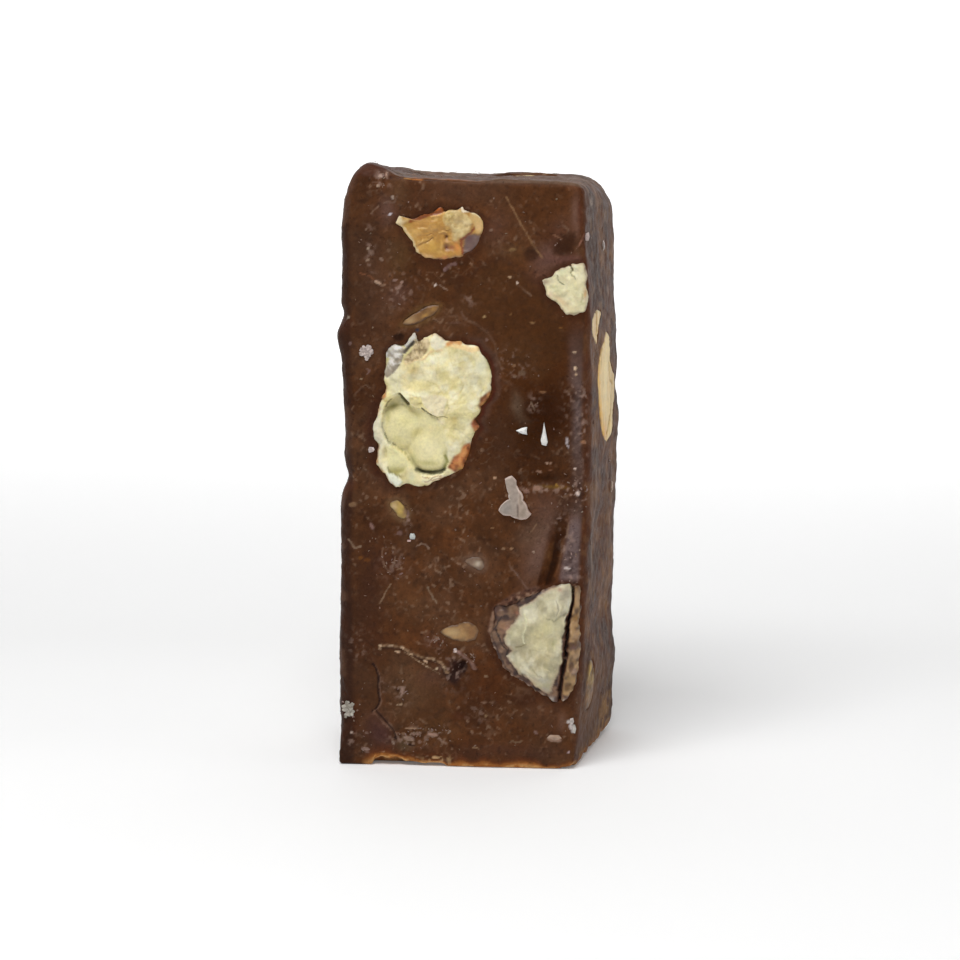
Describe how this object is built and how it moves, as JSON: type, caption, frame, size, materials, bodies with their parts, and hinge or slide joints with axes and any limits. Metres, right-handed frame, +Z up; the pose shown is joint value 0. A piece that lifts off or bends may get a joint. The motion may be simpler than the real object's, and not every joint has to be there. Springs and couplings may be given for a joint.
{
  "type": "chocolate nougat piece",
  "caption": "Upright cut block of chocolate nougat with whole nuts sliced through flush with its faces and a few sugar flakes; stands on its flat cut end.",
  "frame": {"origin": "middle of the base, the cut end that the piece stands on", "axes": "+Z up along the piece's length, -Y out of the large cut face that shows most nuts, +X to the right of that face, towards the flared side"},
  "size_m": [0.035, 0.0231, 0.0768],
  "materials": {
    "nougat": "waxy milk-chocolate nougat with a soft grey sheen and fine sugar grain",
    "nut_flesh": "dry, crumbly cream-coloured cut nut",
    "toasted_nut": "golden toasted nut, slightly oily",
    "pale_nut": "greyish cream cut nut with a bark-like brown skin"
  },
  "bodies": {
    "root": {"nougat": "nougat", "nut_large": "nut_flesh", "nut_top": "toasted_nut", "nut_edge": "nut_flesh", "nut_corner": "pale_nut", "nut_side": "nut_flesh", "nut_side_small": "toasted_nut", "nut_side_low": "toasted_nut", "chip_tan": "toasted_nut", "chip_gold": "toasted_nut", "chip_yellow": "nut_flesh", "chip_pink": "toasted_nut", "nut_back_high": "nut_flesh", "nut_back_middle": "nut_flesh", "nut_back_low": "nut_flesh", "nut_back_small": "nut_flesh", "nut_left_high": "nut_flesh", "nut_left_low": "nut_flesh", "nut_upper": "nut_flesh"}
  },
  "joints": []
}
